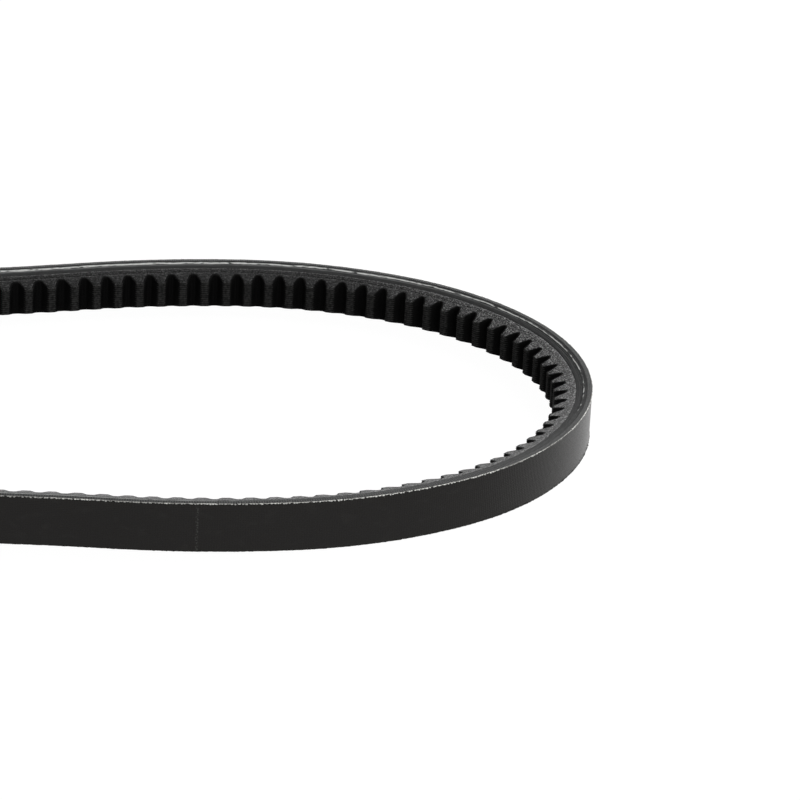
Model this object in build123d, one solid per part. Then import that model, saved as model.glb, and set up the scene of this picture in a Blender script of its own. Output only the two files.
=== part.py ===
"""A raw-edge cogged V-belt, standing on one edge in the shape its own stiffness gives it.

The belt is an endless ring of bonded layers. Depth is measured inward from the back of the belt,
and Z runs across its width, with the middle of the width at Z = 0. The loop is made of tangent
arcs, so every layer is an exact offset of the back. X runs along the loop, and the origin is the
middle of the loop.
"""
from build123d import *
from math import ceil, cos, hypot, pi, radians, sin, tan
import os

# Size of the belt
outside_length = 1000.0
top_width = 13.0
belt_depth = 9.8
flank_angle = 20.0
square_edge_depth = 1.2

# Shape of the loop at rest: arcs of the back, from the middle of an end bend to the waist
end_bend_radius = 68.5
end_bend_turn = 29.0
shoulder_radius = 78.0
shoulder_turn = 32.0
hip_radius = 108.0
hip_turn = 26.0
side_radius = 204.0
waist_turn = 9.0

# Layers, from the back inward
back_ply_thickness = 0.4
overcord_thickness = 0.4
gum_over_cord = 0.1
gum_under_cord = 0.4
upper_sheet_thickness = 1.1
cog_land_thickness = 0.5
facing_thickness = 0.4

# Tensile cord
cord_diameter = 0.9
cord_pitch = 1.2

# Cogs, measured on the finished surface, with corners before rounding
cog_pitch = 6.17
cog_depth = 3.2
cog_tip_width = 1.8
cog_wall_angle = 28.0
cog_tip_radius = 0.4
cog_root_radius = 0.75
least_root_gap = 0.3

# Depths that follow from the layers
ply_joint_1 = back_ply_thickness
ply_joint_2 = 2 * back_ply_thickness
fabric_depth = 3 * back_ply_thickness
overcord_depth = fabric_depth + overcord_thickness
cord_line_depth = overcord_depth + gum_over_cord + cord_diameter / 2
gum_depth = cord_line_depth + cord_diameter / 2 + gum_under_cord
upper_sheet_depth = gum_depth + upper_sheet_thickness
cog_root_depth = belt_depth - cog_depth
lower_sheet_depth = cog_root_depth - facing_thickness - cog_land_thickness
flank_slope = tan(radians(flank_angle))
wall_slope = tan(radians(cog_wall_angle))


def half_width(depth):
    """Half the belt's width at a depth: square near the back, then tapering."""
    return top_width / 2 - max(0.0, depth - square_edge_depth) * flank_slope


def left_of(heading):
    """Unit vector to the left of a heading in radians, which is toward the inside of the loop."""
    return Vector(-sin(heading), cos(heading), 0)


def loop_turns():
    """Signed radius and turn in radians of each arc, counter-clockwise from an end bend's middle.

    The belt bows inward at the waist, where the radius is negative. The waist's radius takes up
    the length that the other arcs leave.
    """
    bends = [
        (end_bend_radius, radians(end_bend_turn)),
        (shoulder_radius, radians(shoulder_turn)),
        (hip_radius, radians(hip_turn)),
    ]
    waist = radians(waist_turn)
    side_turn = pi / 2 + waist - sum(turn for _, turn in bends)
    bends.append((side_radius, side_turn))
    bent_length = sum(radius * turn for radius, turn in bends)
    waist_radius = (outside_length / 4 - bent_length) / waist
    quarter = bends + [(-waist_radius, waist)]
    return 2 * (quarter + quarter[::-1])


class BackArc:
    """One arc of the belt's back, walked from a start point and a start heading."""

    def __init__(self, start, heading, radius, turn):
        self.heading = heading
        self.radius = radius
        self.turn = turn if radius > 0 else -turn
        self.length = abs(radius) * turn
        self.centre = start + left_of(heading) * radius

    def heading_at(self, distance):
        return self.heading + distance / self.radius

    def point_at(self, distance, depth=0.0):
        return self.centre - left_of(self.heading_at(distance)) * (self.radius - depth)

    def end(self):
        return self.point_at(self.length)


def walk_loop():
    """The arcs of the back, placed so that the middle of the loop is at the origin."""
    turns = loop_turns()
    arcs = trace(Vector(0, 0, 0), turns)
    waist_middle = arcs[len(turns) // 4 - 1].end()
    return trace(Vector(-waist_middle.X, 0, 0), turns)


def trace(start, turns):
    arcs = []
    heading = pi / 2
    for radius, turn in turns:
        arc = BackArc(start, heading, radius, turn)
        arcs.append(arc)
        start = arc.end()
        heading = arc.heading + arc.turn
    return arcs


back_arcs = walk_loop()


def layer_section(top_depth, bottom_depth):
    """Section of a layer as a sketch: X is depth and Y is the belt's width."""
    depths = [top_depth, bottom_depth]
    if top_depth < square_edge_depth < bottom_depth:
        depths.insert(1, square_edge_depth)
    upper = [(depth, half_width(depth)) for depth in depths]
    lower = [(depth, -half) for depth, half in reversed(upper)]
    return make_face(Polyline(upper + lower, close=True))


def run_round_loop(section):
    """Carry a section along every arc of the loop and join the pieces."""
    pieces = []
    for arc in back_arcs:
        inward = left_of(arc.heading)
        across = Plane(origin=arc.point_at(0), x_dir=inward, z_dir=inward.cross(Vector(0, 0, 1)))
        spin = Vector(0, 0, 1 if arc.turn > 0 else -1)
        axis = Axis(arc.centre, spin)
        pieces.append(revolve(across * section, axis, abs(arc.turn) * 180 / pi))
    return Part() + pieces


def cord_stations():
    """Positions across the belt of the cord's turns, out to the ones that the flanks cut open."""
    room = half_width(cord_line_depth) / cord_pitch
    side_count = ceil(room - 0.5)
    return [index * cord_pitch for index in range(-side_count, side_count + 1)]


def cord_section(stations):
    """Sections of the cord's turns, cut flush with the belt's flanks."""
    rounds = [Pos(cord_line_depth, station) * Circle(cord_diameter / 2) for station in stations]
    return (Sketch() + rounds) & layer_section(overcord_depth, gum_depth)


def gum_section(top_depth, bottom_depth):
    """Section of a gum layer, with the cord's turns bedded in it."""
    return layer_section(top_depth, bottom_depth) - cord_section(cord_stations())


def place_on_back(distance):
    """The arc that holds a distance along the back, and what is left to go on it."""
    for arc in back_arcs:
        if distance <= arc.length:
            return arc, distance
        distance -= arc.length
    return back_arcs[-1], back_arcs[-1].length


def cog_corners(distance, spacing, inset):
    """A cog's four corners, its surface moved into the rubber by inset, in walking order.

    A cog that would meet its neighbour at the root gets steeper walls.
    """
    arc, along = place_on_back(distance)
    heading = arc.heading_at(along)
    forward = Vector(cos(heading), sin(heading), 0)
    wall_shift = inset / cos(radians(cog_wall_angle))
    corners = []
    for side, depth in ((-1, cog_root_depth), (-1, belt_depth), (1, belt_depth), (1, cog_root_depth)):
        half = cog_tip_width / 2 + (belt_depth - depth + inset) * wall_slope - wall_shift
        room = spacing * (1 - (depth - inset) / arc.radius) - least_root_gap
        half = min(half, room / 2 - inset / 2)
        corners.append(arc.point_at(along, depth - inset) + forward * side * half)
    return corners


def rounded_outline(corners, radii):
    """Closed wire through the corners, each rounded by its radius as far as its sides allow."""
    starts = []
    ends = []
    rounds = []
    for index, corner in enumerate(corners):
        before = corners[index - 1]
        after = corners[(index + 1) % len(corners)]
        incoming = (corner - before).normalized()
        outgoing = (after - corner).normalized()
        half_turn = radians(incoming.get_angle(outgoing)) / 2
        room = 0.48 * min((corner - before).length, (after - corner).length)
        setback = min(radii[index] * tan(half_turn), room)
        starts.append(corner - incoming * setback)
        ends.append(corner + outgoing * setback)
        rounds.append(Edge.make_tangent_arc(starts[-1], incoming, ends[-1]))
    edges = []
    for index, round_edge in enumerate(rounds):
        edges.append(round_edge)
        edges.append(Edge.make_line(ends[index], starts[(index + 1) % len(starts)]))
    return Wire(edges)


def cogged_outline(inset):
    """Plan outline of the cogged inside, moved into the rubber by inset."""
    count = round(outside_length / cog_pitch)
    spacing = outside_length / count
    corners = []
    radii = []
    root_radius = cog_root_radius + inset
    tip_radius = max(cog_tip_radius - inset, 0.05)
    for index in range(count):
        corners += cog_corners(index * spacing, spacing, inset)
        radii += [root_radius, tip_radius, tip_radius, root_radius]
    return rounded_outline(corners, radii)


def back_outline():
    """Plan outline of the belt's back."""
    edges = []
    for arc in back_arcs:
        middle = arc.point_at(arc.length / 2)
        edges.append(Edge.make_three_point_arc(arc.point_at(0), middle, arc.end()))
    return Wire(edges)


def cogged_layer(outer_wire, inner_wire, top_depth):
    """Everything between two plan outlines, with the belt's flanks and starting at a depth."""
    clear = 1.0
    plan = Face(outer_wire, [inner_wire])
    block = Pos(0, 0, -top_width / 2 - clear) * extrude(plan, top_width + 2 * clear)
    return block & run_round_loop(layer_section(top_depth, belt_depth + clear))


def save(name, part):
    part.label = name
    export_step(part, f"parts/{name}.step")


os.makedirs("parts", exist_ok=True)
stations = cord_stations()
rubber_outline = cogged_outline(facing_thickness)
finished_outline = cogged_outline(0.0)

save("back_fabric_outer_ply", run_round_loop(layer_section(0, ply_joint_1)))
save("back_fabric_middle_ply", run_round_loop(layer_section(ply_joint_1, ply_joint_2)))
save("back_fabric_inner_ply", run_round_loop(layer_section(ply_joint_2, fabric_depth)))
save("overcord_rubber", run_round_loop(layer_section(fabric_depth, overcord_depth)))
save("cord_gum_upper", run_round_loop(gum_section(overcord_depth, cord_line_depth)))
save("cord_gum_lower", run_round_loop(gum_section(cord_line_depth, gum_depth)))
save("tensile_cord_s_twist", run_round_loop(cord_section(stations[0::2])))
save("tensile_cord_z_twist", run_round_loop(cord_section(stations[1::2])))
save("undercord_upper_sheet", run_round_loop(layer_section(gum_depth, upper_sheet_depth)))
save("undercord_lower_sheet", run_round_loop(layer_section(upper_sheet_depth, lower_sheet_depth)))
save("cog_rubber", cogged_layer(back_outline(), rubber_outline, lower_sheet_depth))
save("cog_facing_fabric", cogged_layer(rubber_outline, finished_outline, lower_sheet_depth))
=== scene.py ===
import bmesh
import bpy
import numpy as np
from math import cos, pi, radians, sin, tan
from mathutils import Matrix, Vector


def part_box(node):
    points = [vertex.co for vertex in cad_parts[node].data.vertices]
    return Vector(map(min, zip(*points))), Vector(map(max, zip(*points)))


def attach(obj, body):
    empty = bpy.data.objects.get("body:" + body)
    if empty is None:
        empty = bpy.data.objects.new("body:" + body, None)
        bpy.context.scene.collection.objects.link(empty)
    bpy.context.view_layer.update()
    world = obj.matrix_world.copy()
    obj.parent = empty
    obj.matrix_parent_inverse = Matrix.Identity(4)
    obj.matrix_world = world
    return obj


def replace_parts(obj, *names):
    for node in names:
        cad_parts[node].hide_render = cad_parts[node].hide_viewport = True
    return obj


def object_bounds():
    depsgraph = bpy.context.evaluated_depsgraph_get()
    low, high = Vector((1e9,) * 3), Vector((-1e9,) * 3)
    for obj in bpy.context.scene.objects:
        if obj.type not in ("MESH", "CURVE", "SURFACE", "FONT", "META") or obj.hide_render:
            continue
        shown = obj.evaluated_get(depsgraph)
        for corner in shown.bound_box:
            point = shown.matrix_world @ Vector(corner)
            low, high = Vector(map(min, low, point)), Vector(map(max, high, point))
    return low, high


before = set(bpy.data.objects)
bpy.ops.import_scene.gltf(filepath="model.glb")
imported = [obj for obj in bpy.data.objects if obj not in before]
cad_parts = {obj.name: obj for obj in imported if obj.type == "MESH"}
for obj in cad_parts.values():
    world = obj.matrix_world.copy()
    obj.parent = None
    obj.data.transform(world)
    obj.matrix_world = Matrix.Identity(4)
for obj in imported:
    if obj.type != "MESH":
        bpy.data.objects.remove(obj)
cad_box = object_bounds()

# ---------------------------------------------------------------------------------------------
# Cog facing. A ribbed fabric soaked in rubber, laid first on the toothed mould, so that it comes
# off as the skin of the cogs. Its heavy yarns run along the belt, over the tips and the roots.
# ---------------------------------------------------------------------------------------------
MM = 0.001
BELT_LENGTH = 1000.0
END_BENDS = [(68.5, 29.0), (78.0, 32.0), (108.0, 26.0), (204.0, 12.0)]
WAIST_TURN = 9.0
BACK_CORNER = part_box("back_fabric_outer_ply")[1] / MM
BELT_DEPTH = 9.8
SQUARE_EDGE = 1.2
FLANK_SLOPE = tan(radians(20.0))
COG_COUNT = 162
COG_DEPTH = 3.2
COG_TIP_WIDTH = 1.8
COG_WALL_ANGLE = 24.5
COG_TIP_RADIUS = 0.4
COG_ROOT_RADIUS = 0.8
LEAST_TIP_RADIUS = 0.1
CORNER_POINTS = 4
FACING_THICKNESS = 0.4
RIB_PITCH = 0.6
RIB_RISE = 0.24
RIB_MARGIN = 0.05
WELD_GAP = 0.002
# Facing colours. The roots' black carries painted shade, and the tips' grey is partly wear, partly painted
# light.
FACING_BLACK = (0.002, 0.002, 0.002, 1.0)
FACING_TIP_WEAR_AND_LIGHT = (0.040, 0.040, 0.039, 1.0)
FACING_CUT = (0.060, 0.060, 0.058, 1.0)

bent_length = sum(radius * radians(turn) for radius, turn in END_BENDS)
waist_radius = (BELT_LENGTH / 4 - bent_length) / radians(WAIST_TURN)
quarter_loop = END_BENDS + [(-waist_radius, WAIST_TURN)]
whole_loop = 2 * (quarter_loop + quarter_loop[::-1])
bend_radii = np.array([radius for radius, turn in whole_loop])
bend_turns = np.radians([turn for radius, turn in whole_loop]) * np.sign(bend_radii)
bend_starts = np.concatenate([[0.0], np.cumsum(bend_radii * bend_turns)])
bend_headings = pi / 2 + np.concatenate([[0.0], np.cumsum(bend_turns)])


def bend_centres():
    """Centre of each bend of the loop, walked counter-clockwise from the right end."""
    point = np.array([BACK_CORNER.x, 0.0])
    centres = []
    for radius, turn, heading in zip(bend_radii, bend_turns, bend_headings):
        inward = np.array([-sin(heading), cos(heading)])
        inward_after = np.array([-sin(heading + turn), cos(heading + turn)])
        centres.append(point + inward * radius)
        point = centres[-1] - inward_after * radius
    return np.array(centres)


loop_centres = bend_centres()


def bend_at(along):
    """Which bend each distance along the back falls in."""
    found = np.searchsorted(bend_starts, np.mod(along, BELT_LENGTH), side="right") - 1
    return np.clip(found, 0, len(bend_radii) - 1)


def on_belt(along, depth, across):
    """Places in metres, from distance along the back, depth below it and place across."""
    bend = bend_at(along)
    turned = (np.mod(along, BELT_LENGTH) - bend_starts[bend]) / bend_radii[bend]
    heading = bend_headings[bend] + turned
    reach = bend_radii[bend] - depth
    x = loop_centres[bend, 0] + np.sin(heading) * reach
    y = loop_centres[bend, 1] - np.cos(heading) * reach
    return np.stack([x, y, across + 0 * x], axis=-1) * MM


def half_width(depth):
    """Half the belt's width at a depth: square at the back, then tapering."""
    return BACK_CORNER.z - np.maximum(0.0, depth - SQUARE_EDGE) * FLANK_SLOPE


def make_piece(name, places, faces, lay, finishes, finish_of_face):
    """A mesh piece fixed to the belt. Lay keeps each face corner's place in the belt, in mm."""
    shape = bpy.data.meshes.new(name)
    shape.vertices.add(len(places))
    shape.vertices.foreach_set("co", places.reshape(-1))
    shape.loops.add(faces.size)
    shape.loops.foreach_set("vertex_index", faces.reshape(-1))
    shape.polygons.add(len(faces))
    shape.polygons.foreach_set("loop_start", np.arange(len(faces)) * faces.shape[1])
    shape.polygons.foreach_set("use_smooth", np.ones(len(faces), dtype=bool))
    for finish in finishes:
        shape.materials.append(finish.material)
    shape.polygons.foreach_set("material_index", finish_of_face)
    shape.update(calc_edges=True)
    kept = shape.attributes.new("lay", "FLOAT_VECTOR", "CORNER")
    kept.data.foreach_set("vector", lay.reshape(-1))
    piece = bpy.data.objects.new(name, shape)
    bpy.context.scene.collection.objects.link(piece)
    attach(piece, "root")
    return piece


def lay_band(name, along, depth, across, finishes, finish_of_row):
    """A closed band: columns go round the loop, and rows go round the section."""
    columns, rows = along.shape
    column, row = np.meshgrid(np.arange(columns), np.arange(rows), indexing="ij")
    next_column = (column + 1) % columns
    next_row = (row + 1) % rows
    corners = [(column, row), (column, next_row), (next_column, next_row), (next_column, row)]
    faces = np.stack([c * rows + r for c, r in corners], axis=-1).reshape(-1, 4)
    lay = np.stack([along, depth, across], axis=-1).reshape(-1, 3)[faces]
    closing = (next_column < column).reshape(-1)
    lay[closing, 2:, 0] += BELT_LENGTH
    places = on_belt(along, depth, across).reshape(-1, 3)
    finish_of_face = np.tile(finish_of_row, columns).astype(np.int32)
    return make_piece(name, places, faces, lay, finishes, finish_of_face)


def rounded_profile(corners, radii):
    """Points of an open outline whose inner corners are rounded."""
    corners = [np.array(corner, float) for corner in corners]
    outline = [corners[0]]
    for before, corner, after, radius in zip(corners, corners[1:], corners[2:], radii):
        back = (before - corner) / np.linalg.norm(before - corner)
        onward = (after - corner) / np.linalg.norm(after - corner)
        middle = (back + onward) / np.linalg.norm(back + onward)
        half_open = np.arccos(np.dot(back, middle))
        centre = corner + middle * radius / sin(half_open)
        first = corner + back * radius / tan(half_open) - centre
        last = corner + onward * radius / tan(half_open) - centre
        for share in np.linspace(0.0, 1.0, CORNER_POINTS):
            spoke = first * (1 - share) + last * share
            outline.append(centre + spoke * radius / np.linalg.norm(spoke))
    return np.array(outline + [corners[-1]])


def cog_course(inset):
    """Distance along, depth, and the way out into the air, down one column after another.

    The cogs keep their size round the bends, and the roots between them open and close.
    """
    spacing = BELT_LENGTH / COG_COUNT
    wall = radians(COG_WALL_ANGLE)
    tip_half = COG_TIP_WIDTH / 2 + inset * (tan(wall) - 1 / cos(wall))
    root_half = tip_half + COG_DEPTH * tan(wall)
    tip_depth = BELT_DEPTH - inset
    root_depth = tip_depth - COG_DEPTH
    root = [(-spacing / 2, root_depth), (-root_half, root_depth)]
    tip = [(-tip_half, tip_depth), (0.0, tip_depth)]
    radii = [COG_ROOT_RADIUS + inset, max(COG_TIP_RADIUS - inset, LEAST_TIP_RADIUS)]
    rise = rounded_profile(root + tip, radii)
    fall = rise[1:-1][::-1] * [-1, 1]
    cog = np.concatenate([rise, fall])
    step = np.roll(cog, -1, axis=0) - np.roll(cog, 1, axis=0)
    step[0] = step[len(rise) - 1] = (1.0, 0.0)
    out = np.stack([-step[:, 1], step[:, 0]], axis=-1) / np.linalg.norm(step, axis=1)[:, None]
    middles = (np.arange(COG_COUNT)[:, None] - COG_COUNT / 2) * spacing
    stretch = 1 / (1 - cog[None, :, 1] / bend_radii[bend_at(middles)])
    reach = np.clip(cog[None, :, 0] * stretch, -spacing / 2, spacing / 2)
    reach[:, 0] = -spacing / 2
    along = (middles + reach).reshape(-1)
    return along, np.tile(cog[:, 1], COG_COUNT), np.tile(out, (COG_COUNT, 1))


class Signal:
    """One output of a finish's nodes. Arithmetic on it adds Math nodes."""

    def __init__(self, finish, socket):
        self.finish = finish
        self.socket = socket

    def math(self, operation, first, second=0.0):
        return self.finish.node("Math", {"operation": operation}, {0: first, 1: second})

    def __add__(self, other):
        return self.math("ADD", self, other)

    def __sub__(self, other):
        return self.math("SUBTRACT", self, other)

    def __rsub__(self, other):
        return self.math("SUBTRACT", other, self)

    def __mul__(self, other):
        return self.math("MULTIPLY", self, other)

    __radd__ = __add__

    def wave(self, pitch):
        """From -1 to 1 and back over each pitch."""
        return self.math("SINE", self * (2 * pi / pitch))

    def steps(self, low, high):
        """0 below low, 1 above high, and smooth between."""
        settings = {"interpolation_type": "SMOOTHSTEP"}
        return self.finish.node("MapRange", settings, {0: self, 1: low, 2: high})


class Finish:
    """A material, made on one Principled shader whose fixed values are given by name."""

    def __init__(self, name, **fixed):
        self.material = bpy.data.materials.new(name)
        self.material.use_nodes = True
        self.tree = self.material.node_tree
        self.shader = self.tree.nodes["Principled BSDF"]
        for socket, value in fixed.items():
            self.shader.inputs[socket.replace("_", " ")].default_value = value

    def node(self, kind, settings=None, inputs=None, output=0):
        made = self.tree.nodes.new("ShaderNode" + kind)
        for name, value in (settings or {}).items():
            setattr(made, name, value)
        for key, value in (inputs or {}).items():
            self.join(made.inputs[key], value)
        return Signal(self, made.outputs[output])

    def join(self, socket, value):
        if isinstance(value, Signal):
            self.tree.links.new(value.socket, socket)
        else:
            socket.default_value = value

    def feed(self, **sockets):
        for name, signal in sockets.items():
            self.join(self.shader.inputs[name.replace("_", " ")], signal)

    def lay(self, part):
        """Distance along the belt, depth or place across, in millimetres."""
        place = self.node("Attribute", {"attribute_name": "lay"}, output="Vector")
        return self.node("SeparateXYZ", inputs={0: place}, output=part)

    def mottle(self, grain, stretch=(1.0, 1.0, 1.0), detail=2.0):
        """Cloudy noise from 0 to 1 with a grain in millimetres, stretched along, into, across."""
        place = self.node("Attribute", {"attribute_name": "lay"}, output="Vector")
        shrink = [1 / amount for amount in stretch]
        scaled = self.node("VectorMath", {"operation": "MULTIPLY"}, {0: place, 1: shrink})
        inputs = {"Vector": scaled, "Scale": 1 / grain, "Detail": detail}
        return self.node("TexNoise", inputs=inputs)

    def tint(self, amount, first, second):
        """The first colour where amount is 0, going to the second where it is 1."""
        inputs = {0: amount, 6: first, 7: second}
        return self.node("Mix", {"data_type": "RGBA"}, inputs, output=2)

    def relief(self, height, rise):
        """The surface's normal, for a height of 0 to 1 that stands rise millimetres tall."""
        return self.node("Bump", inputs={"Height": height, "Distance": rise * MM})


def facing_finish():
    """Black with painted shade in the roots; the tips and ribs grey from wear and painted light."""
    finish = Finish("ribbed_facing", Roughness=0.8, Specular_IOR_Level=0.07)
    rib = (finish.lay("Z") + RIB_PITCH / 4).wave(RIB_PITCH) * 0.5 + 0.5
    wear = finish.mottle(0.7, detail=4.0).steps(0.32, 0.68)
    # The tip mask paints the cog tips lighter and the roots darker: partly wear, partly painted light and
    # shade.
    tip = (finish.lay("Y") + rib * 0.6 + wear * 0.2).steps(BELT_DEPTH - 0.3, BELT_DEPTH + 0.25)
    worn = tip * (rib * 0.45 + 0.55) * (wear * 0.7 + 0.3)
    finish.feed(Base_Color=finish.tint(worn, FACING_BLACK, FACING_TIP_WEAR_AND_LIGHT))
    finish.feed(Normal=finish.relief(rib * 0.6 + wear * 0.4, 0.08))
    return finish


def facing_edge_finish():
    """The facing's cut edge, frayed grey in spots, the grey fading out toward the roots of the cogs."""
    finish = Finish("cut_facing_edge", Roughness=0.9, Specular_IOR_Level=0.1)
    frayed = finish.mottle(0.3, detail=3.0).steps(0.35, 0.65)
    tip = finish.lay("Y").steps(BELT_DEPTH - 1.2, BELT_DEPTH - 0.4) * 0.85 + 0.05
    finish.feed(Base_Color=finish.tint(frayed * tip, FACING_BLACK, FACING_CUT))
    finish.feed(Normal=finish.relief(frayed, 0.05))
    return finish


def make_facing():
    """The ribbed outside of the cogs, with two rows behind it that give the facing its thickness."""
    top_across = half_width(BELT_DEPTH - COG_DEPTH)
    reach = int(top_across / (RIB_PITCH / 2)) + 1
    row_across = np.arange(-reach, reach + 1) * RIB_PITCH / 2
    along, depth, out = cog_course(0.0)
    width = half_width(depth)[:, None]
    across = np.clip(row_across[None, :], -width, width)
    ridge = np.where(np.arange(-reach, reach + 1) % 2 == 0, 0.0, -RIB_RISE)
    ridge = ridge[None, :] * (np.abs(row_across)[None, :] < width - RIB_MARGIN)
    inner_along, inner_depth, _ = cog_course(FACING_THICKNESS)
    inner_width = half_width(inner_depth)[:, None]
    ribbed_along = along[:, None] + out[:, :1] * ridge
    ribbed_depth = depth[:, None] + out[:, 1:] * ridge
    along = np.concatenate([ribbed_along, np.tile(inner_along[:, None], 2)], axis=1)
    depth = np.concatenate([ribbed_depth, np.tile(inner_depth[:, None], 2)], axis=1)
    across = np.concatenate([across, inner_width, -inner_width], axis=1)
    finish_of_row = np.zeros(along.shape[1])
    finish_of_row[[-3, -1]] = 1
    finishes = [facing_finish(), facing_edge_finish()]
    facing = lay_band("cog_facing", along, depth, across, finishes, finish_of_row)
    weld = bmesh.new()
    weld.from_mesh(facing.data)
    bmesh.ops.remove_doubles(weld, verts=weld.verts, dist=WELD_GAP * MM)
    weld.to_mesh(facing.data)
    weld.free()
    return facing


facing = make_facing()
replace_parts(facing, "cog_facing_fabric")

# ---------------------------------------------------------------------------------------------
# Cog rubber. Rubber filled with short chopped fibres that lie across the belt, pressed into the
# mould's teeth. The flanks are ground after cutting, so they are grey, rough and speckled, and
# coarser round the right end. Their colour also carries painted light, brightest at that end.
# ---------------------------------------------------------------------------------------------
LOWER_SHEET_END = 5.7
FIBRE_RUBBER_DARK = (0.004, 0.004, 0.004, 1.0)
FIBRE_RUBBER_GREY = (0.052, 0.052, 0.053, 1.0)
FIBRE_END = (0.44, 0.44, 0.435, 1.0)
# Where along the belt the grind is coarsest and the painted light brightest, in mm.
COARSE_AND_LIT_MIDDLE = -60.0
JOINT_SWAY = 0.022
JOINT_WAVES = [(17, 5, 1.0), (41, 9, 0.8), (113, 3, 0.6), (277, 7, 0.5)]
FLANK_SHARES = [1.0, 0.75, 0.5, 0.25, 0.03, 0.0]
FLANK_EASE = 0.03


def laid_depth(depth, along):
    """A layer's joint wanders a little as the layers are pressed together."""
    turn = along * (2 * pi / BELT_LENGTH)
    sway = sum(size * np.sin(count * turn + shift * depth) for count, shift, size in JOINT_WAVES)
    return depth + JOINT_SWAY * sway


def fibre_rubber_finish():
    """Dark rubber with a grey grain and pale fibre ends, stronger where coarse, and painted lighter toward
    the right end.
    """
    finish = Finish("ground_fibre_rubber", Specular_IOR_Level=0.28, Sheen_Weight=0.36, Sheen_Roughness=0.28)
    cloud = finish.mottle(1.8, detail=3.0)
    grain = finish.mottle(0.4, detail=3.0).steps(0.34, 0.66)
    ends = finish.mottle(0.5, detail=2.0).steps(0.54, 0.64)
    from_crest = BELT_LENGTH / 4 - COARSE_AND_LIT_MIDDLE
    # The flanks' colour is painted lighter toward the right end, where the light falls; the grind is also
    # coarser there.
    toward_coarse_lit_end = (finish.lay("X") + from_crest).wave(BELT_LENGTH)
    coarse_and_lit = toward_coarse_lit_end.steps(0.55, 1.0)
    # Painted light: the ground grain is painted darker away from the right end.
    painted_light_along = toward_coarse_lit_end.steps(0.1, 0.9) * 0.88 + 0.12
    ground = grain * (cloud * 0.8 + 0.2) * painted_light_along
    rubber = finish.tint(ground, FIBRE_RUBBER_DARK, FIBRE_RUBBER_GREY)
    finish.feed(Base_Color=finish.tint(ends * (coarse_and_lit * 0.9 + 0.1), rubber, FIBRE_END))
    finish.feed(Roughness=0.85 - grain * 0.4)
    finish.feed(Normal=finish.relief((grain * 0.7 + ends * 0.3) * (coarse_and_lit * 0.9 + 0.1), 0.40))
    return finish


fibre_rubber = fibre_rubber_finish()


def make_cog_rubber():
    """The rubber from the lower sheet down to the back of the facing, with both flanks."""
    along, foot, _ = cog_course(FACING_THICKNESS)
    top = laid_depth(LOWER_SHEET_END, along)
    shares = np.array(FLANK_SHARES)
    flank = top[:, None] + (foot - top)[:, None] * shares[None, :]
    width = half_width(flank)
    width[:, -1] -= FLANK_EASE
    depth = np.concatenate([flank, flank[:, ::-1]], axis=1)
    across = np.concatenate([width, -width[:, ::-1]], axis=1)
    along = np.tile(along[:, None], depth.shape[1])
    plain = np.zeros(depth.shape[1])
    return lay_band("cogs", along, depth, across, [fibre_rubber], plain)


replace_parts(make_cog_rubber(), "cog_rubber")

# ---------------------------------------------------------------------------------------------
# Undercord sheets. Two calendered sheets between the cogs and the cord: the lower of the same
# fibre-filled rubber as the cogs, the upper of plain smooth black rubber.
# ---------------------------------------------------------------------------------------------
UPPER_SHEET_END = 4.1
GUM_END = 3.0
COLUMNS = 2000
LAYER_ROWS = 4
EDGE_EASE = 0.04
SMOOTH_BLACK = (0.026, 0.0265, 0.0265, 1.0)
SMOOTH_GREY = (0.050, 0.051, 0.051, 1.0)


def smooth_rubber_finish():
    """Plain black rubber with faint knife streaks along the belt."""
    finish = Finish("cut_smooth_rubber", Roughness=0.75, Specular_IOR_Level=0.1)
    streak = finish.mottle(0.2, stretch=(14.0, 1.0, 1.0), detail=3.0).steps(0.35, 0.7)
    grain = finish.mottle(0.3, detail=2.0)
    finish.feed(Base_Color=finish.tint(streak * 0.7 + grain * 0.3, SMOOTH_BLACK, SMOOTH_GREY))
    finish.feed(Normal=finish.relief(streak * 0.6 + grain * 0.4, 0.05))
    return finish


smooth_rubber = smooth_rubber_finish()


def lay_layer(name, top, bottom, finish):
    """A flat layer of the belt, with its cut edges eased so that the joints show as fine lines."""
    along = (np.arange(COLUMNS) / COLUMNS - 0.5) * BELT_LENGTH
    start = laid_depth(top, along)[:, None]
    end = laid_depth(bottom, along)[:, None]
    shares = np.linspace(0.0, 1.0, LAYER_ROWS)[None, :]
    inner = start + EDGE_EASE + (end - start - 2 * EDGE_EASE) * shares
    flank = np.concatenate([start, inner, end], axis=1)
    width = half_width(flank)
    width[:, [0, -1]] -= EDGE_EASE
    depth = np.concatenate([flank, flank[:, ::-1]], axis=1)
    across = np.concatenate([-width, width[:, ::-1]], axis=1)
    along = np.tile(along[:, None], depth.shape[1])
    plain = np.zeros(depth.shape[1])
    return lay_band(name, along, depth, across, [finish], plain)


lower_name = "undercord_lower"
lower_sheet = lay_layer(lower_name, UPPER_SHEET_END, LOWER_SHEET_END, fibre_rubber)
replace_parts(lower_sheet, "undercord_lower_sheet")
upper_name = "undercord_upper"
upper_sheet = lay_layer(upper_name, GUM_END, UPPER_SHEET_END, smooth_rubber)
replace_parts(upper_sheet, "undercord_upper_sheet")

# ---------------------------------------------------------------------------------------------
# Cord gum. Soft bonding rubber above and below the cord. It flows round the cord in the press,
# and the two coats meet along the cord line. Where the knife has cut the cord, it leaves a pale
# smear beside it.
# ---------------------------------------------------------------------------------------------
CORD_LINE = 2.15
OVERCORD_END = 1.6
GUM_BLACK = (0.034, 0.0345, 0.0345, 1.0)
GUM_GREY = (0.080, 0.081, 0.081, 1.0)
GUM_SMEARED = (0.20, 0.203, 0.203, 1.0)


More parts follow.
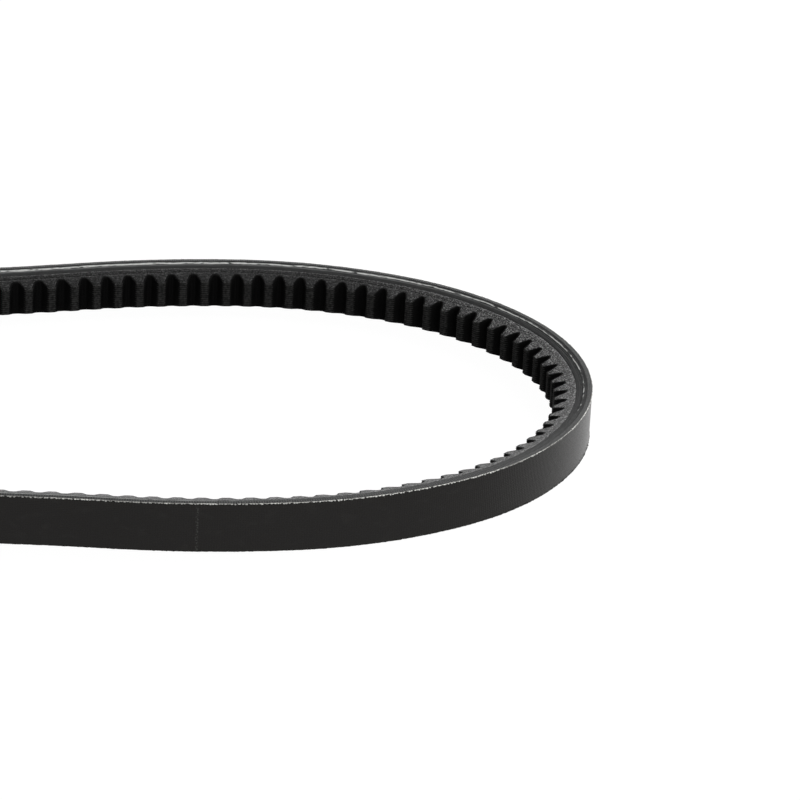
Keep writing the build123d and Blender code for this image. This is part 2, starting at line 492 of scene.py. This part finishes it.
def gum_finish():
    """Streaked black rubber, smeared paler along the cord from where the cord is cut through."""
    finish = Finish("cut_cord_gum", Roughness=0.75, Specular_IOR_Level=0.1)
    streak = finish.mottle(0.15, stretch=(10.0, 1.0, 1.0), detail=3.0).steps(0.35, 0.7)
    off_line = finish.node("Math", {"operation": "ABSOLUTE"}, {0: finish.lay("Y") - CORD_LINE})
    cut_through = finish.lay("X").steps(0.0, 80.0)
    patches = finish.mottle(9.0).steps(0.25, 0.5) * 0.6 + 0.4
    smear = (1 - off_line.steps(0.45, 0.95)) * patches * cut_through
    gum = finish.tint(streak, GUM_BLACK, GUM_GREY)
    finish.feed(Base_Color=finish.tint(smear, gum, GUM_SMEARED))
    finish.feed(Normal=finish.relief(streak, 0.04))
    return finish


cord_gum = gum_finish()
gum_below = lay_layer("gum_below_cord", CORD_LINE, GUM_END, cord_gum)
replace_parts(gum_below, "cord_gum_lower")
gum_above = lay_layer("gum_above_cord", OVERCORD_END, CORD_LINE, cord_gum)
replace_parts(gum_above, "cord_gum_upper")

# ---------------------------------------------------------------------------------------------
# Tensile cord. A pair of polyester cords, one twisted each way, wound side by side round the
# belt as a flat helix. Cutting the belt from its sleeve slices the end turns lengthwise, so a
# white line of yarn shows on each flank until the cord has run out of the cut.
# ---------------------------------------------------------------------------------------------
CORD_RADIUS = 0.45
CORD_LEAD = 2.4
CORD_SIDES = 20
CORD_STEP = 1.0
CUT_PROUD = 0.025
FIRST_CUT = -26.0
CLEAR_CUT = 170.0
CORD_WHITE = (0.74, 0.75, 0.73, 1.0)
CORD_SOILED = (0.030, 0.031, 0.031, 1.0)


def cord_finish():
    """White yarn along the middle of the cut, soiled with gum at its edges and ragged at the start."""
    finish = Finish("cut_polyester_cord", Roughness=0.85, Specular_IOR_Level=0.3)
    yarn = finish.mottle(0.10, stretch=(8.0, 1.0, 1.0), detail=2.0)
    strand = finish.mottle(0.8, stretch=(2.5, 0.5, 1.0), detail=4.0)
    wander = finish.mottle(5.0, stretch=(1.0, 5.0, 5.0), detail=3.0) * 0.4 - 0.2
    off_line = finish.lay("Y") - CORD_LINE - wander
    from_middle = finish.node("Math", {"operation": "ABSOLUTE"}, {0: off_line})
    grazed = 1 - finish.lay("X").steps(FIRST_CUT, FIRST_CUT + CLEAR_CUT)
    soil = (from_middle + strand * 0.5 + grazed * 0.22).steps(0.40, 0.64)
    just_cut = 1 - finish.lay("X").steps(FIRST_CUT, FIRST_CUT + CLEAR_CUT / 3)
    worn = (strand + just_cut * 0.14).steps(0.56, 0.62) * 0.9
    dull = yarn.steps(0.45, 0.7) * 0.35
    clean = (1 - soil) * (1 - worn) * (1 - dull)
    finish.feed(Base_Color=finish.tint(clean, CORD_SOILED, CORD_WHITE))
    finish.feed(Normal=finish.relief(yarn, 0.05))
    return finish


def wind_cord(name, first_cut, finish):
    """One cord from flank to flank, wherever it passes the cut, flattened flush with it."""
    edge = half_width(CORD_LINE)
    travel = 2 * (edge + CORD_RADIUS)
    count = int(travel / CORD_LEAD * BELT_LENGTH / CORD_STEP)
    run = np.arange(count) * CORD_STEP
    along = first_cut + run
    across = edge + CORD_RADIUS - CORD_LEAD * run / BELT_LENGTH
    round_cord = np.arange(CORD_SIDES) * 2 * pi / CORD_SIDES
    line = laid_depth(CORD_LINE, along)
    depth = line[:, None] + CORD_RADIUS * np.cos(round_cord)[None, :]
    across = across[:, None] + CORD_RADIUS * np.sin(round_cord)[None, :]
    cut = half_width(depth) + CUT_PROUD
    across = np.clip(across, -cut, cut)
    along = np.tile(along[:, None], CORD_SIDES)
    column, row = np.meshgrid(np.arange(count - 1), np.arange(CORD_SIDES), indexing="ij")
    next_row = (row + 1) % CORD_SIDES
    corners = [(column, row), (column, next_row), (column + 1, next_row), (column + 1, row)]
    faces = np.stack([c * CORD_SIDES + r for c, r in corners], axis=-1).reshape(-1, 4)
    lay = np.stack([along, depth, across], axis=-1).reshape(-1, 3)[faces]
    places = on_belt(along, depth, across).reshape(-1, 3)
    finish_of_face = np.zeros(len(faces), dtype=np.int32)
    return make_piece(name, places, faces, lay, [finish], finish_of_face)


cord_yarn = cord_finish()
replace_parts(wind_cord("cord_s_twist", FIRST_CUT, cord_yarn), "tensile_cord_s_twist")
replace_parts(wind_cord("cord_z_twist", FIRST_CUT + BELT_LENGTH / 2, cord_yarn), "tensile_cord_z_twist")

# ---------------------------------------------------------------------------------------------
# Overcord rubber. A thin sheet of plain rubber that keeps the cord off the back fabric.
# ---------------------------------------------------------------------------------------------
FABRIC_END = 1.2
overcord = lay_layer("overcord", FABRIC_END, OVERCORD_END, smooth_rubber)
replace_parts(overcord, "overcord_rubber")

# ---------------------------------------------------------------------------------------------
# Back fabric. Three plies of bias-cut cotton and polyester fabric, rubbed full of black rubber
# and wrapped over the sleeve last. The outer ply ends in a lap across the belt. The knife leaves
# the yarn ends showing on every ply's cut edge; painted light makes them palest on the far side.
# ---------------------------------------------------------------------------------------------
PLY = 0.4
LAP_AT = -149.5
LAP_STEP = 0.06
LAP_FADE = 9.0
WEAVE_PITCH = 0.625
WEAVE_SLANT = 1.3
BACK_BLACK = (0.0090, 0.0080, 0.0072, 1.0)
BACK_WORN = (0.026, 0.025, 0.023, 1.0)
LAP_FRAY = (0.045, 0.045, 0.042, 1.0)
PLY_RUBBER = (0.048, 0.0485, 0.0485, 1.0)
PLY_YARN = (0.23, 0.233, 0.23, 1.0)
CORNER_ROUND = [(0.10, 0.0), (0.03, 0.06), (0.0, 0.14)]
CORNER_REACH = 0.2
FACE_MARGIN = 0.25
FACE_ROWS = 13
RAGGED_RISE = 0.012
RAGGED_SETBACK = 0.03
RAGGED_SEED = 7


def back_finish():
    """Rubbed black fabric: a faint weave, scuffs, specks and threads, and a frayed line at the lap."""
    finish = Finish("rubbed_back_fabric", Specular_IOR_Level=0.16)
    forward = finish.lay("X") + finish.lay("Z") * WEAVE_SLANT
    backward = finish.lay("X") - finish.lay("Z") * WEAVE_SLANT
    weave = forward.wave(2 * WEAVE_PITCH) * backward.wave(2 * WEAVE_PITCH)
    scuff = finish.mottle(2.5, stretch=(2.0, 1.0, 1.0), detail=5.0).steps(0.5, 0.8)
    specks = finish.mottle(0.25, detail=1.0).steps(0.74, 0.78)
    grain = finish.mottle(0.5, detail=4.0)
    off_lap = finish.node("Math", {"operation": "ABSOLUTE"}, {0: finish.lay("X") - LAP_AT})
    at_lap = off_lap.steps(0.5, 0.2)
    fray = at_lap * finish.mottle(0.4, detail=1.0).steps(0.5, 0.6)
    near_corner = finish.lay("Z").steps(BACK_CORNER.z - 2.6, BACK_CORNER.z)
    threads = finish.mottle(0.4, stretch=(1.0, 1.0, 5.0), detail=2.0).steps(0.60, 0.75) * near_corner
    worn = scuff * 0.35 + specks * 0.6 + threads + weave * 0.08
    cloth = finish.tint(worn, BACK_BLACK, BACK_WORN)
    finish.feed(Base_Color=finish.tint(fray, cloth, LAP_FRAY))
    finish.feed(Roughness=0.18 + grain * 0.22 - weave * 0.04)
    finish.feed(Normal=finish.relief(weave * 0.25 + grain * 0.6 + scuff * 0.2, 0.06))
    return finish


def ply_edge_finish():
    """Cut yarn ends in black rubber, with painted light that makes them palest on the belt's far side."""
    finish = Finish("cut_ply_edge", Roughness=0.8, Specular_IOR_Level=0.1)
    grain = finish.mottle(0.14, stretch=(1.6, 1.0, 1.0), detail=2.0)
    yarn_ends = finish.lay("X").wave(WEAVE_PITCH) * 0.2 + grain
    # Painted light: the edges are painted paler on the far side, where the light catches them, and darker
    # on the near side, in the lee.
    painted_light_side = finish.lay("X").wave(BELT_LENGTH) * 0.35 + 0.65
    showing = yarn_ends.steps(0.35, 0.75) * painted_light_side
    finish.feed(Base_Color=finish.tint(showing, PLY_RUBBER, PLY_YARN))
    finish.feed(Normal=finish.relief(yarn_ends, 0.05))
    return finish


def make_outer_ply(finish, edge_finish):
    """The outer ply, with rounded ragged corners and a low step that fades out behind the lap."""
    along = (np.arange(COLUMNS) / COLUMNS - 0.5) * BELT_LENGTH
    ragged = np.random.default_rng(RAGGED_SEED).normal(0.0, 1.0, (COLUMNS, 2))
    ragged = np.clip(ragged, -2, 2) * RAGGED_RISE
    side = BACK_CORNER.z
    face_across = np.linspace(-side + FACE_MARGIN, side - FACE_MARGIN, FACE_ROWS)
    rows = [(down, -side + inward) for down, inward in CORNER_ROUND]
    rows += [(0.0, place) for place in face_across]
    rows += [(down, side - inward) for down, inward in reversed(CORNER_ROUND)]
    rows += [(PLY - EDGE_EASE, side), (PLY, side - EDGE_EASE)]
    rows += [(PLY, -side + EDGE_EASE), (PLY - EDGE_EASE, -side)]
    depth = np.tile(np.array([row[0] for row in rows]), (COLUMNS, 1))
    across = np.tile(np.array([row[1] for row in rows]), (COLUMNS, 1))
    top_rows = across[0] > side - CORNER_REACH
    bottom_rows = across[0] < -side + CORNER_REACH
    across[:, top_rows] += ragged[:, :1] - RAGGED_SETBACK
    across[:, bottom_rows] += ragged[:, 1:] + RAGGED_SETBACK
    past_lap = np.mod(along - LAP_AT, BELT_LENGTH)
    sunk = LAP_STEP * np.clip(past_lap / LAP_FADE, 0, 1) * (past_lap < BELT_LENGTH - LAP_FADE)
    outer_face = np.arange(len(rows)) < len(rows) - 4
    depth[:, outer_face] += (LAP_STEP - sunk)[:, None] * (past_lap < LAP_FADE)[:, None]
    depth[:, ~outer_face] = laid_depth(PLY, along)[:, None] + depth[:, ~outer_face] - PLY
    finish_of_row = np.zeros(len(rows))
    finish_of_row[:1] = 1
    finish_of_row[-6:] = 1
    along = np.tile(along[:, None], len(rows))
    finishes = [finish, edge_finish]
    return lay_band("back_ply_outer", along, depth, across, finishes, finish_of_row)


ply_edge = ply_edge_finish()
inner_ply = lay_layer("back_ply_inner", 2 * PLY, 3 * PLY, ply_edge)
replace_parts(inner_ply, "back_fabric_inner_ply")
middle_ply = lay_layer("back_ply_middle", PLY, 2 * PLY, ply_edge)
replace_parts(middle_ply, "back_fabric_middle_ply")
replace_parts(make_outer_ply(back_finish(), ply_edge), "back_fabric_outer_ply")

# ---------------------------------------------------------------------------------------------
# Frayed yarn. The knife leaves short thick ends of the outer ply's pale yarn at an almost even
# spacing along the back's two corners. Thin frayed yarn lies among them, and a few loose hairs
# stand off the corner.
# ---------------------------------------------------------------------------------------------
YARN_PALE = (0.93, 0.93, 0.89, 1.0)
# Dark yarn colour: soil on the upper corner, painted shade on the lower.
YARN_SOILED_AND_SHADED = (0.045, 0.043, 0.038, 1.0)
YARN_SIDES = 5
YARN_RINGS = 4
YARN_JITTER = 0.35
YARN_SINK = (0.01, 0.03)
YARN_MARGIN = 0.02
YARN_SCATTER = 0.06
CUT_YARN_TOP = {"count": 1350, "lengths": (0.35, 0.65), "radii": (0.11, 0.21), "lift": 0.02}
CUT_YARN_BOTTOM = {"count": 1250, "lengths": (0.30, 0.60), "radii": (0.08, 0.16), "lift": 0.05}
FRAYED_YARN = {"count": 1500, "lengths": (0.5, 1.6), "radii": (0.03, 0.06), "lift": 0.03}
LOOSE_HAIRS = {"count": 220, "lengths": (0.5, 1.6), "radii": (0.015, 0.03), "lift": 0.18}


def yarn_finish():
    """Pale yarn in clean patches on the upper corner, soiled between them; painted shade darkens the lower
    corner.
    """
    finish = Finish("frayed_yarn", Roughness=0.9, Specular_IOR_Level=0.2)
    clean = finish.mottle(0.9, detail=3.0).steps(0.32, 0.48)
    patch = finish.mottle(10.0, detail=3.0).steps(0.34, 0.62)
    # Painted shade: yarn on the lower corner is painted dark, as it lies in shade.
    upper = finish.lay("Z").steps(-1.0, 1.0)
    bright = clean * (patch * 0.5 + 0.5) * upper
    finish.feed(Base_Color=finish.tint(bright, YARN_SOILED_AND_SHADED, YARN_PALE))
    return finish


def lay_yarns(name, finish, side, seed, count, lengths, radii, lift):
    """Short tapered yarn ends along one corner of the back. Lift is how far they stand off it."""
    draw = np.random.default_rng(seed)
    jitter = draw.uniform(-YARN_JITTER, YARN_JITTER, count)
    start = ((np.arange(count) + jitter) / count - 0.5) * BELT_LENGTH
    length = draw.uniform(lengths[0], lengths[1], count)
    radius = draw.uniform(radii[0], radii[1], count)
    sink = draw.normal(YARN_SINK[0], YARN_SINK[1], count)
    inset = YARN_MARGIN + radius + draw.uniform(0.0, YARN_SCATTER, count)
    drift = draw.normal(0.0, 1.0, (count, 2)) * lift
    share = np.linspace(0.0, 1.0, YARN_RINGS)[None, :]
    swell = np.sin(pi * (0.12 + 0.76 * share)) ** 0.7
    along = start[:, None] + length[:, None] * share
    depth = sink[:, None] - np.abs(drift[:, :1]) * share ** 2
    across = side * (BACK_CORNER.z - inset[:, None] + drift[:, 1:] * share ** 2)
    turned = np.arange(YARN_SIDES) * 2 * pi / YARN_SIDES
    thick = (radius[:, None] * swell)[:, :, None]
    depth = depth[:, :, None] + thick * np.cos(turned)
    across = across[:, :, None] + thick * np.sin(turned)
    along = np.repeat(along[:, :, None], YARN_SIDES, axis=2)
    yarn, ring, corner = np.meshgrid(
        np.arange(count), np.arange(YARN_RINGS - 1), np.arange(YARN_SIDES), indexing="ij"
    )
    after = (corner + 1) % YARN_SIDES
    first = (yarn * YARN_RINGS + ring) * YARN_SIDES
    second = first + YARN_SIDES
    faces = np.stack([first + corner, second + corner, second + after, first + after], axis=-1)
    faces = faces.reshape(-1, 4)
    lay = np.stack([along, depth, across], axis=-1).reshape(-1, 3)
    places = on_belt(along, depth, across).reshape(-1, 3)
    plain = np.zeros(len(faces), dtype=np.int32)
    return make_piece(name, places, faces, lay[faces], [finish], plain)


frayed_yarn = yarn_finish()
lay_yarns("cut_yarn_top", frayed_yarn, side=1, seed=11, **CUT_YARN_TOP)
lay_yarns("cut_yarn_bottom", frayed_yarn, side=-1, seed=12, **CUT_YARN_BOTTOM)
lay_yarns("frayed_yarn_top", frayed_yarn, side=1, seed=15, **FRAYED_YARN)
lay_yarns("frayed_yarn_bottom", frayed_yarn, side=-1, seed=16, **FRAYED_YARN)
lay_yarns("loose_hairs_top", frayed_yarn, side=1, seed=13, **LOOSE_HAIRS)
lay_yarns("loose_hairs_bottom", frayed_yarn, side=-1, seed=14, **LOOSE_HAIRS)

# ---------------------------------------------------------------------------------------------
# The studio: a pale glowing floor, a large soft panel behind the belt, a panel to the right, a
# fill from the front, and a small gentle lamp above the right end.
# ---------------------------------------------------------------------------------------------
FLOOR_REACH = 8.0
FLOOR_GREY = (0.04, 0.04, 0.04, 1.0)
FLOOR_GLOW = 0.98
AIR_WHITE = (1.0, 1.0, 1.0, 1.0)
AIR_GLOW = 0.24


def make_floor():
    """A large glowing square under the belt, whose glow doesn't light matt surfaces."""
    level = cad_box[0].z
    square = [(-1, -1), (1, -1), (1, 1), (-1, 1)]
    corners = [(x * FLOOR_REACH, y * FLOOR_REACH, level) for x, y in square]
    shape = bpy.data.meshes.new("floor")
    shape.from_pydata(corners, [], [(0, 1, 2, 3)])
    floor = bpy.data.objects.new("floor", shape)
    bpy.context.scene.collection.objects.link(floor)
    finish = Finish("pale_floor", Base_Color=FLOOR_GREY, Roughness=0.9, Specular_IOR_Level=0.2)
    finish.shader.inputs["Emission Color"].default_value = AIR_WHITE
    finish.shader.inputs["Emission Strength"].default_value = FLOOR_GLOW
    floor.data.materials.append(finish.material)
    floor.visible_diffuse = False


def add_light(name, place, target, size, power):
    lamp = bpy.data.lights.new(name, "AREA")
    lamp.shape = "RECTANGLE"
    lamp.size, lamp.size_y = size
    lamp.energy = power
    holder = bpy.data.objects.new(name, lamp)
    bpy.context.scene.collection.objects.link(holder)
    holder.visible_camera = False
    aim = Vector(target) - Vector(place)
    facing_way = aim.to_track_quat("-Z", "Y").to_matrix().to_4x4()
    holder.matrix_world = Matrix.Translation(place) @ facing_way


make_floor()
add_light("overhead_soft", (0.62, 0.06, 0.56), (0.18, 0.0, 0.0), (0.5, 0.5), 2.6)
add_light("back_panel", (0.9, 2.4, 0.75), (0.15, 0.0, 0.0), (2.6, 1.4), 48.0)
add_light("front_fill", (0.7, -1.9, 0.35), (0.10, 0.0, 0.0), (1.2, 0.6), 16.0)
add_light("right_panel", (2.0, 0.9, 0.4), (0.2, 0.0, 0.0), (0.8, 0.8), 15.0)

world = bpy.data.worlds.new("studio_air")
world.use_nodes = True
world.node_tree.nodes["Background"].inputs["Color"].default_value = AIR_WHITE
world.node_tree.nodes["Background"].inputs["Strength"].default_value = AIR_GLOW
bpy.context.scene.world = world
bpy.context.scene.view_settings.view_transform = "Standard"

# ---------------------------------------------------------------------------------------------
# The camera: a long lens in front of the loop and above it, aimed near the right end.
# ---------------------------------------------------------------------------------------------
CAMERA_AIM = Vector((0.1596, 0.0052, -0.0037))
CAMERA_DISTANCE = 1.140
CAMERA_HEIGHT_ANGLE = radians(24.04)
CAMERA_SIDE_ANGLE = radians(8.15)
CAMERA_ROLL = radians(2.88)
LENS_LENGTH = 197.2
SENSOR_WIDTH = 36.0

lens = bpy.data.cameras.new("camera")
lens.sensor_width = SENSOR_WIDTH
lens.lens = LENS_LENGTH
lens.clip_start = 0.05
lens.clip_end = 20.0
camera = bpy.data.objects.new("camera", lens)
bpy.context.scene.collection.objects.link(camera)
level = cos(CAMERA_HEIGHT_ANGLE)
sideways = sin(CAMERA_SIDE_ANGLE) * level
onward = cos(CAMERA_SIDE_ANGLE) * level
look = Vector((sideways, onward, -sin(CAMERA_HEIGHT_ANGLE)))
turn = look.to_track_quat("-Z", "Y").to_matrix().to_4x4() @ Matrix.Rotation(CAMERA_ROLL, 4, "Z")
camera.matrix_world = Matrix.Translation(CAMERA_AIM - look * CAMERA_DISTANCE) @ turn
bpy.context.scene.camera = camera
